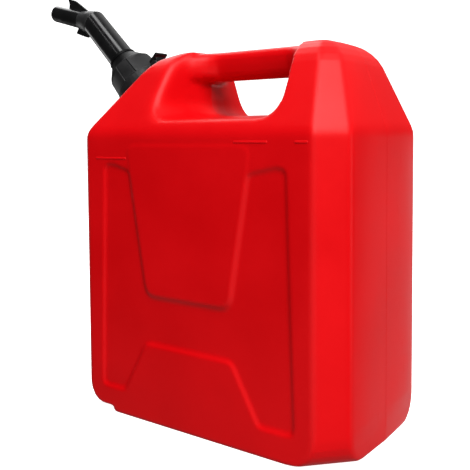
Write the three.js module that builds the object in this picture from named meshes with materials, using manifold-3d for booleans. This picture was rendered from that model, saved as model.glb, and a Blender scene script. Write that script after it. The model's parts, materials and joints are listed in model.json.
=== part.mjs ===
// A ten litre fuel can: a blow-moulded tank with its own handle, a child-resistant lock on the neck
// and a bent pouring spout held by a screw collar.
// Millimetres. X runs from the spout end to the rear end, Y is the depth, Z is up.
// The origin is the middle of the base.
import * as THREE from "three";
import { mergeVertices } from "three/addons/utils/BufferGeometryUtils.js";
import Module from "manifold-3d";

const wasm = await Module();
wasm.setup();

// Tank
const LENGTH = 285;
const DEPTH = 165;
const SHOULDER_HEIGHT = 258;
const HANDLE_TOP = 332;
const WALL = 2.8;
const CORNER_CHAMFER = 22;
const UPRIGHT_ROUND = 7; // radius on the tank's upright edges
const ROUND_SHARE = 0.45; // the most of a chamfer's width that the round at each of its edges takes
const PARTING_CROWN = 1.2; // the ends stand this proud where the two mould halves meet
const SHOULDER_ROUND = 6;
const TOP_ROUND = 20;
const BROAD_LEAN = 29.5; // degrees from upright, broad faces above the shoulder
const REAR_LEAN = 19.5; // degrees from upright, rear end above the shoulder
const NECK_LEAN = 45; // degrees from upright, the slope that carries the neck
const REAR_CHAMFER_FADE = 0.15; // the chamfers narrow by this much for each millimetre of rise
const NECK_CHAMFER_FADE = 0.22;

// Base of the tank
const PLINTH_HEIGHT = 6;
const PLINTH_CHAMFER = 52; // at the spout end
const NECK_FOOT_CHAMFER = 38; // at the spout end, above the plinth
const REAR_FOOT_CHAMFER = 46; // at the rear end, on the floor
const FOOT_ROUND_HEIGHT = 24; // the chamfered corners tuck in below this height
const BASE_EDGE = 2;
const BASE_POCKET_LENGTH = 62;
const BASE_POCKET_WIDTH = 96;
const BASE_POCKET_DEPTH = 3;
const BASE_BAND = 30; // flat band left between the two pockets

// Handle
const NECK_POST_REACH = 104.5; // from the tank's spout end to the grip opening, on the parting plane
const REAR_POST_REACH = 66.5; // from the tank's rear end to the grip opening, on the parting plane
const GRIP_FLOOR = 272.5;
const GRIP_CORNER = 15;
const GRIP_DRAFT = 8.5; // degrees, the posts fall back from the parting plane
const GRIP_FLOOR_DRAFT = 3.7; // degrees
const BAR_HEIGHT = 27;
const BAR_WIDTH = 30;
const BAR_FILLET = 24; // radius between the bar's sides and the posts
const BAR_UNDER_FILLET = 8;
const BAR_ROOT_DEPTH = 8; // length of bar sunk into each post
const BAR_TOP_GAP = 0.3; // the bar's top lies this far below the posts' tops
const BAR_SQUARENESS = 0.72; // power of the section's curve, between an oval at 1 and a box at 0

// Panels of the broad faces
const RECESS_DEPTH_TOP = 1.5;
const RECESS_DEPTH_FOOT = 1.8;
const RECESS_WALL = 3.2; // width of its sloping walls
const PANEL_MARGIN_TOP = 22; // from the edge of the flat broad face
const PANEL_MARGIN_FOOT = 15.5;
const PANEL_DROP = 27.5; // from the shoulder to the recess
const PANEL_FOOT = 23;
const PANEL_CORNER = 8;
const PANEL_SHIFT = -2.5; // the pad and the kick plate lie this far towards the spout end
const LEG_TOP_FLAT = 11.5; // level part of a leg's top edge
const LEG_TOP_DROP = 5.5; // how far the top edge then falls towards the pad
const LEG_CORNER = 5;
const PAD_INSET_TOP = 53; // from the edge of the flat broad face
const PAD_INSET_FOOT = 76;
const PAD_DROP = 12; // from the shoulder to the pad's top edge
const PAD_FOOT = 115;
const PAD_CORNER = 9;
const PAD_PROUD = 0.4;
const KICK_INSET_TOP = 74.5; // from the edge of the flat broad face
const KICK_INSET_FOOT = 48;
const KICK_TOP = 70;
const KICK_CORNER = 5;

// Neck, on the slope at the spout end
const NECK_UP_SLOPE = 45; // from the shoulder to the neck's axis, along the slope
const NECK_OUTER = 42;
const NECK_BORE = 37;
const NECK_HEIGHT = 32;
const BOSS_FOOT = 64;
const BOSS_TOP = 58;
const BOSS_HEIGHT = 11.5;

// Lock ring and release tab
const SEAT_GAP = 0.3; // between pieces that rest on each other
const RING_SLACK = 0.4; // lock ring on the neck, radial
const RING_OUTER = 56;
const RING_HEIGHT = 12;
const TAB_WIDTH = 13;
const TAB_THICKNESS = 3.6;
const TAB_GAP = 1; // between the lock ring and the tab's stem
const TAB_SIDE_GAP = 0.4;
const TAB_NOSE_GAP = 0.6; // between the tab's nose and the collar
const TAB_SOFTEN = 0.9; // bevels on the tab's edges
const THUMB_WIDTH = 16;
const THUMB_THICKNESS = 3;
const THUMB_REACH = 7.8; // beyond the stem
const THUMB_LIFT = 1.1; // above the lock ring
const THUMB_BRACE = 4.5; // how far the brace under the thumb plate reaches
const TRUNNION = 3.2;
const TRUNNION_SLACK = 0.3;
const PIVOT_DROP = 1; // below the middle of the lock ring
const PIVOT_OUT = 0.6; // outside the middle of the stem
const EAR_THICKNESS = 2.4;
const EAR_SOFTEN = 2;

// Screw collar
const COLLAR_LIP = 2.4; // from the top of the spout's flare to the collar's top
const COLLAR_CONE = 14; // height of the cone above the grips
const COLLAR_MOUTH = 29.2; // diameter of the cone's top
const COLLAR_SHOULDER = 49.6; // diameter where the cone meets the skirt
const COLLAR_RIM = 1.2; // bevel there
const COLLAR_SKIRT = 53;
const COLLAR_GRIP_PAIRS = 4; // a wide and a narrow grip in each
const COLLAR_WIDE_GRIP = 60; // degrees
const COLLAR_TURN = -52.5; // degrees, where the first wide grip starts
const COLLAR_FLATNESS = 0.5; // of the grips, between a round at 0 and a flat at 1
const COLLAR_GROOVE = 0.9;
const COLLAR_GROOVE_ANGLE = 1.8; // half-width in degrees
const COLLAR_LIFT = 1; // between the collar's skirt and the lock ring
const THREAD_SLACK = 0.6; // radial room for the thread
const COLLAR_BORE_SLACK = 0.4; // round the spout, radial

// Gasket and spout
const GASKET_THICKNESS = 2;
const GASKET_INSET = 0.3;
const TUBE_OUTER = 26;
const TUBE_WALL = 2.5;
const FLANGE_RIM = 3; // height of the flange's straight edge
const FLARE_HEIGHT = 20; // from that edge to the tube
const FLANGE_MOUTH_WALL = 2.6;
const BEAD_OUTER = 30;
const BEAD_HEIGHT = 3.2;
const BEAD_SOFTEN = 0.6;
const TUBE_LENGTH = 62.5; // from the collar's top to the bend's centre
const BEND = 30; // degrees
const NOZZLE_OUTER = 19;
const NOZZLE_TIP_OUTER = 18;
const NOZZLE_WALL = 2;
const NOZZLE_LENGTH = 63;
const NOZZLE_CONE = 22; // length over which the tube's width comes down to the nozzle's
const NOZZLE_COLLET = 1.5; // straight length between the mitre and the cone
const NOZZLE_SOFTEN = 0.9; // bevel at the tip
const SPIGOT_LENGTH = 16;
const SPIGOT_SLACK = 0.3;
const SPIGOT_WALL = 1.8;
const FIN_THICKNESS = 3;
const FIN_HEIGHT = 18.8; // above the nozzle's axis
const FIN_START = 12;
const FIN_END = 43;
const FIN_TOP_LENGTH = 13;
const FIN_HOOK = 4.7; // how far the fin's tip leans past its foot
const FIN_SINK = 1.2; // depth of the fin and the lug in the nozzle's wall
const LUG_THICKNESS = 4;
const LUG_DEPTH = 17; // below the nozzle's axis
const LUG_START = 6;
const LUG_END = 24;
const LUG_TIP = 2.4; // height of the lug's blunt end

// Breather
const BREATHER_OUTER = 5;
const BREATHER_BORE = 3.2;
const BREATHER_DIP = 8; // how far it reaches below the spout's flange
const BREATHER_SHY = 5; // how far its end stays inside the nozzle
const BREATHER_TURN = 0.7; // part of the spigot's length over which it bends
const BREATHER_EASE = 1; // how far the bend keeps off the upper wall

// Facets
const ROUND_STEPS = 40;
const TUBE_STEPS = 28;
const PIN_STEPS = 16;
const BAR_SIDES = 20;
const ARC_STEPS = 5;
const CORNER_STEPS = 3;
const PATH_STEPS = 24;
const CUT_RUN = 5; // how far cuts run past the faces they open

const red = { color: 0xd01018, roughness: 0.38, metalness: 0 };
const black = { color: 0x141414, roughness: 0.3, metalness: 0 };
const rubber = { color: 0x202020, roughness: 0.8, metalness: 0 };

const radians = THREE.MathUtils.degToRad;
const slant = (degrees) => Math.tan(radians(degrees));
const group = new THREE.Group();

// A closed geometry as a manifold solid, whichever way its faces were wound.
function solid(geometry) {
  const bare = geometry.index ? geometry.toNonIndexed() : geometry.clone();
  bare.deleteAttribute("normal");
  bare.deleteAttribute("uv");
  const merged = mergeVertices(bare, 1e-4);
  const index = merged.index.array;
  const kept = [];
  for (let i = 0; i < index.length; i += 3) {
    const [a, b, c] = [index[i], index[i + 1], index[i + 2]];
    if (a !== b && b !== c && c !== a) kept.push(a, b, c);
  }
  const build = (triangles) =>
    new wasm.Manifold(
      new wasm.Mesh({
        numProp: 3,
        vertProperties: merged.attributes.position.array,
        triVerts: new Uint32Array(triangles),
      }),
    );
  const made = build(kept);
  return made.volume() > 0 ? made : build(kept.reverse());
}

// A manifold solid as a named mesh in a group.
function addMesh(name, shape, finish, parent) {
  const made = shape.getMesh();
  const geometry = new THREE.BufferGeometry();
  const positions = new Float32Array(made.numVert * 3);
  for (let i = 0; i < made.numVert; i += 1) {
    for (let k = 0; k < 3; k += 1) positions[i * 3 + k] = made.vertProperties[i * made.numProp + k];
  }
  geometry.setAttribute("position", new THREE.BufferAttribute(positions, 3));
  geometry.setIndex(new THREE.BufferAttribute(new Uint32Array(made.triVerts), 1));
  geometry.computeVertexNormals();
  const mesh = new THREE.Mesh(geometry, new THREE.MeshStandardMaterial(finish));
  mesh.name = name;
  parent.add(mesh);
  return mesh;
}

// Rings of points, all with the same count, joined into one closed skin with flat ends.
function loft(rings) {
  const count = rings[0].length;
  const positions = rings.flat().flatMap((p) => [p.x, p.y, p.z]);
  const index = [];
  for (let r = 0; r + 1 < rings.length; r += 1) {
    for (let i = 0; i < count; i += 1) {
      const a = r * count + i;
      const b = r * count + ((i + 1) % count);
      index.push(a, b, b + count, a, b + count, a + count);
    }
  }
  for (const [ring, turned] of [[0, true], [rings.length - 1, false]]) {
    const middle = positions.length / 3;
    const centre = rings[ring].reduce((sum, p) => sum.add(p), new THREE.Vector3());
    centre.divideScalar(count);
    positions.push(centre.x, centre.y, centre.z);
    for (let i = 0; i < count; i += 1) {
      const a = ring * count + i;
      const b = ring * count + ((i + 1) % count);
      index.push(middle, turned ? b : a, turned ? a : b);
    }
  }
  const geometry = new THREE.BufferGeometry();
  geometry.setAttribute("position", new THREE.Float32BufferAttribute(positions, 3));
  geometry.setIndex(index);
  return geometry;
}

// A closed profile of [radius, height] pairs turned about Z.
function turned(profile, steps = ROUND_STEPS) {
  const points = [...profile, profile[0]].map(([r, h]) => new THREE.Vector2(r, h));
  return new THREE.LatheGeometry(points, steps).rotateX(Math.PI / 2);
}

function outline(points) {
  return new THREE.Shape(points.map(([x, y]) => new THREE.Vector2(x, y)));
}

// A closed outline of [x, z, radius] corners, each rounded from that distance on both sides.
function roundedOutline(corners) {
  const spots = corners.map(([x, z]) => new THREE.Vector2(x, z));
  const turns = corners.map(([, , radius], i) => {
    const aside = (other) => spots[i].clone().add(other.clone().sub(spots[i]).setLength(radius));
    return { start: aside(spots.at(i - 1)), end: aside(spots[(i + 1) % spots.length]) };
  });
  const shape = new THREE.Shape();
  shape.moveTo(turns[0].start.x, turns[0].start.y);
  turns.forEach(({ start, end }, i) => {
    shape.lineTo(start.x, start.y);
    shape.quadraticCurveTo(spots[i].x, spots[i].y, end.x, end.y);
  });
  return shape;
}

// An outline drawn in X and Z, given a thickness along Y about the middle plane.
function plate(points, thickness) {
  const flat = new THREE.ExtrudeGeometry(outline(points), { depth: thickness, bevelEnabled: false });
  return flat.translate(0, 0, -thickness / 2).rotateX(Math.PI / 2);
}

function circle(radius, height, steps = TUBE_STEPS, tilt = 0) {
  return Array.from({ length: steps }, (_, i) => {
    const angle = (i / steps) * Math.PI * 2;
    const x = radius * Math.cos(angle);
    return new THREE.Vector3(x, radius * Math.sin(angle), height + x * tilt);
  });
}

// Tank sections

// Rise above the shoulder, eased over the shoulder's rounding.
function riseAbove(z) {
  const d = z - SHOULDER_HEIGHT;
  if (d <= -SHOULDER_ROUND) return 0;
  if (d >= SHOULDER_ROUND) return d;
  return (d + SHOULDER_ROUND) ** 2 / (4 * SHOULDER_ROUND);
}

// How far every side draws in where the top rounds over.
function topInset(z, skin) {
  const radius = TOP_ROUND - skin;
  const d = z - (HANDLE_TOP - TOP_ROUND);
  return d <= 0 ? 0 : radius - Math.sqrt(Math.max(0, radius * radius - d * d));
}

// Widths of the corner chamfers below the shoulder. Both ends tuck in towards the floor.
function footChamfers(z, onPlinth = false) {
  const tuck = (low, deep) => {
    const t = Math.min(1, Math.max(0, (FOOT_ROUND_HEIGHT - z) / (FOOT_ROUND_HEIGHT - low)));
    return CORNER_CHAMFER + (deep - CORNER_CHAMFER) * (1 - Math.sqrt(1 - t * t));
  };
  const neck = onPlinth ? PLINTH_CHAMFER : tuck(PLINTH_HEIGHT, NECK_FOOT_CHAMFER);
  return { neck, rear: tuck(0, REAR_FOOT_CHAMFER) };
}

// One level section of the tank, an octagon with rounded corners, a skin's thickness inside the outer one.
function tankSection(z, skin, edge = 0, chamfer = footChamfers(z - skin)) {
  const rise = riseAbove(z);
  const inset = topInset(z, skin) + edge;
  const thick = (lean) => (rise > 0 ? skin / Math.cos(radians(lean)) : skin);
  const half = DEPTH / 2 - rise * slant(BROAD_LEAN) - thick(BROAD_LEAN) - inset;
  const right = LENGTH / 2 - rise * slant(REAR_LEAN) - thick(REAR_LEAN) - inset;
  const left = -LENGTH / 2 + rise * slant(NECK_LEAN) + thick(NECK_LEAN) + inset;
  const trim = skin * (2 - Math.SQRT2) + inset / 2;
  const smallest = UPRIGHT_ROUND / 2;
  const rear = Math.max(smallest, chamfer.rear - trim - rise * REAR_CHAMFER_FADE);
  const neck = Math.max(smallest, chamfer.neck - trim - rise * NECK_CHAMFER_FADE);
  const flat = { right: right - PARTING_CROWN, left: left + PARTING_CROWN };
  const corners = [
    [flat.right, half - rear],
    [right - rear, half],
    [left + neck, half],
    [flat.left, half - neck],
    [left, 0],
    [flat.left, neck - half],
    [left + neck, -half],
    [right - rear, -half],
    [flat.right, rear - half],
    [right, 0],
  ].map(([x, y]) => new THREE.Vector2(x, y));
  const cut = Math.min(UPRIGHT_ROUND * Math.tan(Math.PI / 8), Math.min(rear, neck) * ROUND_SHARE);
  return corners.flatMap((corner, i) => {
    const before = corners[(i + corners.length - 1) % corners.length];
    const after = corners[(i + 1) % corners.length];
    if (corner.y === 0) return [new THREE.Vector3(corner.x, 0, z)];
    const start = corner.clone().add(before.clone().sub(corner).setLength(cut));
    const end = corner.clone().add(after.clone().sub(corner).setLength(cut));
    const curve = new THREE.QuadraticBezierCurve(start, corner, end);
    return curve.getPoints(2).map((p) => new THREE.Vector3(p.x, p.y, z));
  });
}

function levels(low, high, steps) {
  return Array.from({ length: steps + 1 }, (_, i) => low + ((high - low) * i) / steps);
}

// Heights of the sections where the top rounds over, closer together near the crown.
function crownLevels(skin) {
  const radius = TOP_ROUND - skin;
  const start = HANDLE_TOP - TOP_ROUND;
  return levels(0, Math.PI / 2, ARC_STEPS).map((angle) => start + radius * Math.sin(angle));
}

function tankLoft(skin) {
  const base = skin;
  const plinth = PLINTH_HEIGHT + skin;
  const foot = FOOT_ROUND_HEIGHT + skin;
  const shoulder = levels(SHOULDER_HEIGHT - SHOULDER_ROUND, SHOULDER_HEIGHT + SHOULDER_ROUND, 4);
  const tuck = levels(0, Math.PI / 2, 4).map((angle) => foot - (foot - plinth) * Math.cos(angle));
  const onPlinth = (z, edge = 0) => tankSection(z, skin, edge, footChamfers(z - skin, true));
  return loft([
    onPlinth(base, BASE_EDGE),
    onPlinth(base + BASE_EDGE),
    onPlinth(plinth),
    ...tuck.map((z) => tankSection(z, skin)),
    ...shoulder.map((z) => tankSection(z, skin)),
    ...crownLevels(skin).map((z) => tankSection(z, skin)),
  ]);
}

// Handle

const grip = { left: -LENGTH / 2 + NECK_POST_REACH, right: LENGTH / 2 - REAR_POST_REACH };

// Outline of the grip opening at a depth. It widens from the parting plane to both broad faces.
function gripOutline(y, grow) {
  const aside = Math.abs(y) * slant(GRIP_DRAFT);
  const left = grip.left - aside - grow;
  const right = grip.right + aside + grow;
  const floor = GRIP_FLOOR - Math.abs(y) * slant(GRIP_FLOOR_DRAFT) - grow;
  const corner = GRIP_CORNER + aside / 2 + grow;
  const top = HANDLE_TOP + TOP_ROUND;
  const arc = (x, start) =>
    levels(start, start + Math.PI / 2, ARC_STEPS + 1).map((angle) => [
      x + corner * Math.cos(angle),
      floor + corner + corner * Math.sin(angle),
    ]);
  const spots = [
    [left, top],
    ...arc(left + corner, Math.PI),
    ...arc(right - corner, Math.PI * 1.5),
    [right, top],
  ];
  return spots.map(([x, z]) => new THREE.Vector3(x, y, z));
}

// The opening under and beside the bar, cut right through the depth and out of the top.
function gripCut(grow) {
  return solid(loft([-DEPTH / 2, 0, DEPTH / 2].map((y) => gripOutline(y, grow))));
}

// One section of the bar, by its half-width and its distance out of a post's wall.
function barSection(side, wide, out, skin) {
  const wall = side < 0 ? grip.left : grip.right;
  const x = wall + side * (wide * slant(GRIP_DRAFT) - out);
  const near = Math.max(0, BAR_UNDER_FILLET - out);
  const drop = BAR_UNDER_FILLET - Math.sqrt(Math.max(0, (BAR_UNDER_FILLET + skin) ** 2 - near ** 2));
  const high = HANDLE_TOP - BAR_TOP_GAP - skin;
  const low = HANDLE_TOP - BAR_TOP_GAP - BAR_HEIGHT - drop;
  const bulge = (v) => Math.sign(v) * Math.abs(v) ** BAR_SQUARENESS;
  return Array.from({ length: BAR_SIDES }, (_, i) => {
    const angle = (i / BAR_SIDES) * Math.PI * 2;
    const y = wide * bulge(Math.cos(angle));
    return new THREE.Vector3(x, y, (high + low) / 2 + ((high - low) / 2) * bulge(Math.sin(angle)));
  });
}

// The bar, an oval section that runs into both posts with hollow rounds.
function handleBar(skin) {
  const half = BAR_WIDTH / 2;
  const radius = BAR_FILLET + skin;
  const places = levels(Math.PI / 2, 0, ARC_STEPS + 1).map((angle) => [
    half + BAR_FILLET - radius * Math.cos(angle),
    BAR_FILLET - radius * Math.sin(angle),
  ]);
  places.unshift([half + BAR_FILLET, -BAR_ROOT_DEPTH]);
  const sections = (side) => places.map(([wide, out]) => barSection(side, wide, out, skin));
  return solid(loft([...sections(-1), ...sections(1).reverse()]));
}

// Panels of the broad faces

const flatHalf = LENGTH / 2 - CORNER_CHAMFER;
const panelTop = SHOULDER_HEIGHT - PANEL_DROP;

// Depth of the recess at a height, deeper towards its foot.
function recessDepth(z) {
  const t = (panelTop - z) / (panelTop - PANEL_FOOT);
  return RECESS_DEPTH_TOP + (RECESS_DEPTH_FOOT - RECESS_DEPTH_TOP) * t;
}

// What the recess takes away where it is pressed into a broad face with sloping walls.
function facePress(shape, grow, back) {
  const press = new THREE.ExtrudeGeometry(shape, {
    depth: DEPTH / 4,
    bevelEnabled: true,
    bevelThickness: RECESS_WALL,
    bevelSize: RECESS_WALL,
    bevelOffset: grow * Math.tan(Math.PI / 8) - RECESS_WALL,
    bevelSegments: 1,
    curveSegments: CORNER_STEPS,
  });
  press.rotateX(Math.PI / 2);
  const spots = press.attributes.position;
  for (let i = 0; i < spots.count; i += 1) {
    const onFloor = spots.getY(i) > RECESS_WALL / 2;
    if (onFloor) spots.setY(i, recessDepth(spots.getZ(i)));
  }
  press.translate(0, grow - DEPTH / 2, 0);
  return solid(back ? press.rotateZ(Math.PI) : press);
}

const padTop = SHOULDER_HEIGHT - PAD_DROP;

// Half-width at a height of the pad, which narrows downwards.
function padHalf(z) {
  const t = (z - PAD_FOOT) / (padTop - PAD_FOOT);
  return flatHalf - PAD_INSET_FOOT + (PAD_INSET_FOOT - PAD_INSET_TOP) * t;
}

// Two upright legs joined by a channel between the pad above and the kick plate below.
function recessOutline(shift) {
  const topHalf = flatHalf - PANEL_MARGIN_TOP;
  const footHalf = flatHalf - PANEL_MARGIN_FOOT;
  const legLow = panelTop - LEG_TOP_DROP;
  const kickHalf = flatHalf - KICK_INSET_TOP;
  const leg = (side) => [
    [side * (flatHalf - KICK_INSET_FOOT) + shift, PANEL_FOOT, KICK_CORNER],
    [side * footHalf, PANEL_FOOT, PANEL_CORNER],
    [side * topHalf, panelTop, PANEL_CORNER],
    [side * (topHalf - LEG_TOP_FLAT), panelTop, LEG_CORNER / 2],
    [side * padHalf(legLow) + shift, legLow, LEG_CORNER],
    [side * padHalf(PAD_FOOT) + shift, PAD_FOOT, PAD_CORNER],
  ];
  const kick = (side) => [side * kickHalf + shift, KICK_TOP, KICK_CORNER];
  return roundedOutline([...leg(1), ...leg(-1).reverse(), kick(-1), kick(1)]);
}

function padOutline(shift) {
  const half = (z) => padHalf(z) - PAD_PROUD;
  return roundedOutline([
    [half(PAD_FOOT) + shift, PAD_FOOT + PAD_PROUD, PAD_CORNER],
    [half(padTop) + shift, padTop, PAD_CORNER],
    [shift - half(padTop), padTop, PAD_CORNER],
    [shift - half(PAD_FOOT), PAD_FOOT + PAD_PROUD, PAD_CORNER],
  ]);
}

// The pad stands proud of the face by its own bevel.
function labelPad(shift, back) {
  const pad = new THREE.ExtrudeGeometry(padOutline(shift), {
    depth: WALL,
    bevelEnabled: true,
    bevelThickness: PAD_PROUD,
    bevelSize: PAD_PROUD,
    bevelOffset: -PAD_PROUD,
    bevelSegments: 1,
    curveSegments: CORNER_STEPS,
  });
  pad.rotateX(Math.PI / 2).translate(0, WALL - DEPTH / 2, 0);
  return solid(back ? pad.rotateZ(Math.PI) : pad);
}

// A pocket pressed into the base, one at each side of the middle band.
function basePocket(side, grow) {
  const near = BASE_BAND / 2;
  const far = near + BASE_POCKET_LENGTH;
  const wide = BASE_POCKET_WIDTH / 2;
  const shape = outline([[near, -wide], [far, -wide], [far, wide], [near, wide]]);
  const press = new THREE.ExtrudeGeometry(shape, {
    depth: PLINTH_HEIGHT,
    bevelEnabled: true,
    bevelThickness: BASE_POCKET_DEPTH,
    bevelSize: BASE_POCKET_DEPTH,
    bevelOffset: grow * Math.tan(Math.PI / 8) - BASE_POCKET_DEPTH,
    bevelSegments: 1,
  });
  press.rotateX(Math.PI).translate(0, 0, grow);
  return solid(side < 0 ? press.rotateZ(Math.PI) : press);
}

// Neck frame: its Z is the neck's axis, square to the slope, and its X points up the slope.

const slopeTilt = radians(NECK_LEAN);
const neckFrame = new THREE.Group();
neckFrame.position.set(
  -LENGTH / 2 + NECK_UP_SLOPE * Math.sin(slopeTilt),
  0,
  SHOULDER_HEIGHT + NECK_UP_SLOPE * Math.cos(slopeTilt),
);
neckFrame.rotation.y = slopeTilt - Math.PI / 2;
neckFrame.updateMatrix();
group.add(neckFrame);

function onSlope(geometry) {
  return solid(geometry.applyMatrix4(neckFrame.matrix));
}

// A round solid from the axis outwards, from a list of [radius, height] pairs.
function spindle(profile) {
  const first = profile[0];
  const last = profile[profile.length - 1];
  return turned([[0, first[1]], ...profile, [0, last[1]]]);
}

// The neck is one moulding with the tank, parted from it out of sight under the lock ring.
const neckFoot = { radius: (NECK_OUTER + RING_OUTER) / 4, low: BOSS_HEIGHT - WALL };

function canBody() {
  const bossRoot = -3 * WALL;
  const boss = onSlope(spindle([
    [BOSS_FOOT / 2, bossRoot],
    [BOSS_FOOT / 2, 0],
    [BOSS_TOP / 2, BOSS_HEIGHT],
  ]));
  const bossCore = onSlope(spindle([
    [BOSS_FOOT / 2 - WALL, bossRoot],
    [BOSS_FOOT / 2 - WALL, 0],
    [BOSS_TOP / 2 - WALL, neckFoot.low],
    [neckFoot.radius + SEAT_GAP, neckFoot.low],
    [neckFoot.radius + SEAT_GAP, BOSS_HEIGHT + WALL],
  ]));
  const shell = (skin) => solid(tankLoft(skin)).subtract(gripCut(skin)).add(handleBar(skin));
  let outer = shell(0).add(boss);
  let inner = shell(WALL).add(bossCore);
  for (const back of [false, true]) {
    const shift = back ? -PANEL_SHIFT : PANEL_SHIFT; // mirrored, since the back's panels are turned round
    outer = outer.subtract(facePress(recessOutline(shift), 0, back)).add(labelPad(shift, back));
    inner = inner.subtract(facePress(recessOutline(shift), WALL, back));
  }
  for (const side of [-1, 1]) {
    outer = outer.subtract(basePocket(side, 0));
    inner = inner.subtract(basePocket(side, WALL));
  }
  return outer.subtract(inner);
}

function canNeck() {
  return solid(turned([
    [NECK_BORE / 2, neckFoot.low],
    [neckFoot.radius, neckFoot.low],
    [neckFoot.radius, BOSS_HEIGHT],
    [NECK_OUTER / 2, BOSS_HEIGHT],
    [NECK_OUTER / 2, NECK_HEIGHT],
    [NECK_BORE / 2, NECK_HEIGHT],
  ]));
}

// Lock ring and release tab

const ringFoot = BOSS_HEIGHT + SEAT_GAP;
const ringTop = ringFoot + RING_HEIGHT;
const tabStem = RING_OUTER / 2 + TAB_GAP;
const pivot = {
  x: tabStem + TAB_THICKNESS / 2 + PIVOT_OUT,
  z: ringFoot + RING_HEIGHT / 2 - PIVOT_DROP,
};

// A round pin or hole along Y through the tab's pivot.
function pivotPin(diameter, length) {
  const pin = new THREE.CylinderGeometry(diameter / 2, diameter / 2, length, PIN_STEPS);
  return solid(pin.translate(pivot.x, 0, pivot.z));
}

function lockRing() {
  let ring = solid(turned([
    [NECK_OUTER / 2 + RING_SLACK, ringFoot],
    [RING_OUTER / 2, ringFoot],
    [RING_OUTER / 2, ringTop],
    [NECK_OUTER / 2 + RING_SLACK, ringTop],
  ]));
  const earEnd = pivot.x + TRUNNION;
  const earRoot = (NECK_OUTER + RING_OUTER) / 4 + RING_SLACK;
  const ear = [
    [earRoot, ringFoot],
    [earEnd - EAR_SOFTEN, ringFoot],
    [earEnd, ringFoot + EAR_SOFTEN],
    [earEnd, ringTop - EAR_SOFTEN],
    [earEnd - EAR_SOFTEN, ringTop],
    [earRoot, ringTop],
  ];
  const offset = TAB_WIDTH / 2 + TAB_SIDE_GAP + EAR_THICKNESS / 2;
  for (const side of [-1, 1]) {
    ring = ring.add(solid(plate(ear, EAR_THICKNESS).translate(0, side * offset, 0)));
  }
  return ring.subtract(pivotPin(TRUNNION + 2 * TRUNNION_SLACK, TAB_WIDTH * 3));
}

// A stem on trunnions and a thumb plate whose inner end is the nose that faces the collar's grips.
function releaseTab() {
  const nose = COLLAR_SKIRT / 2 + TAB_NOSE_GAP;
  const outer = tabStem + TAB_THICKNESS;
  const foot = pivot.z - TRUNNION;
  const low = ringTop + THUMB_LIFT;
  const top = low + THUMB_THICKNESS;
  const end = outer + THUMB_REACH;
  const stem = [
    [tabStem, foot],
    [outer + PIVOT_OUT, foot],
    [outer + PIVOT_OUT, pivot.z + TRUNNION],
    [outer + THUMB_BRACE, low],
    [outer, top - TAB_SOFTEN],
    [tabStem, top - TAB_SOFTEN],
  ];
  const thumb = [
    [nose, low],
    [end - TAB_SOFTEN, low],
    [end, low + TAB_SOFTEN],
    [end, top - TAB_SOFTEN],
    [end - TAB_SOFTEN, top],
    [nose + TAB_SOFTEN, top],
    [nose, top - TAB_SOFTEN],
  ];
  const trunnions = pivotPin(TRUNNION, TAB_WIDTH + 2 * (TAB_SIDE_GAP + EAR_THICKNESS));
  return solid(plate(stem, TAB_WIDTH)).add(solid(plate(thumb, THUMB_WIDTH))).add(trunnions);
}

// Gasket, spout and collar

const gasketFoot = NECK_HEIGHT + SEAT_GAP;
const flangeFoot = gasketFoot + GASKET_THICKNESS + SEAT_GAP;
const flangeTop = flangeFoot + FLANGE_RIM;
const flangeRadius = NECK_OUTER / 2 - GASKET_INSET;
const tubeRadius = TUBE_OUTER / 2;
const boreRadius = tubeRadius - TUBE_WALL;
const flareTop = flangeTop + FLARE_HEIGHT;
const collarTop = flareTop + COLLAR_LIP;
const elbowHeight = collarTop + TUBE_LENGTH;
const mitre = slant(BEND / 2);

function gasket() {
  return solid(turned([
    [NECK_BORE / 2 + GASKET_INSET, gasketFoot],
    [flangeRadius, gasketFoot],
    [flangeRadius, gasketFoot + GASKET_THICKNESS],
    [NECK_BORE / 2 + GASKET_INSET, gasketFoot + GASKET_THICKNESS],
  ]));
}

// A flared flange under the collar, a bead above it, and a straight tube up to the mitre.
function spoutTube() {
  const beadFoot = collarTop + SEAT_GAP;
  const high = elbowHeight + TUBE_OUTER;
  const tube = solid(turned([
    [flangeRadius - FLANGE_MOUTH_WALL, flangeFoot],
    [flangeRadius, flangeFoot],
    [flangeRadius, flangeTop],
    [tubeRadius, flareTop],
    [tubeRadius, beadFoot],
    [BEAD_OUTER / 2, beadFoot],
    [BEAD_OUTER / 2, beadFoot + BEAD_HEIGHT - BEAD_SOFTEN],
    [tubeRadius + BEAD_SOFTEN, beadFoot + BEAD_HEIGHT],
    [tubeRadius, beadFoot + BEAD_HEIGHT + BEAD_SOFTEN],
    [tubeRadius, high],
    [boreRadius, high],
    [boreRadius, flareTop],
  ], TUBE_STEPS));
  const cutHeight = elbowHeight - SEAT_GAP;
  const beyond = loft([
    circle(TUBE_OUTER, cutHeight, TUBE_STEPS, mitre),
    circle(TUBE_OUTER, cutHeight + 2 * TUBE_OUTER, TUBE_STEPS, mitre),
  ]);
  return tube.subtract(solid(beyond));
}

// Nozzle frame: its Z runs along the nozzle from the bend's centre, and its X points up.
const nozzleFrame = new THREE.Group();
nozzleFrame.position.z = elbowHeight;
nozzleFrame.rotation.y = -radians(BEND);
nozzleFrame.updateMatrix();
neckFrame.add(nozzleFrame);

const spigotRadius = boreRadius - SPIGOT_SLACK;
const spigotBoreRadius = spigotRadius - SPIGOT_WALL;
const nozzleBoreRadius = NOZZLE_TIP_OUTER / 2 - NOZZLE_WALL;

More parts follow.
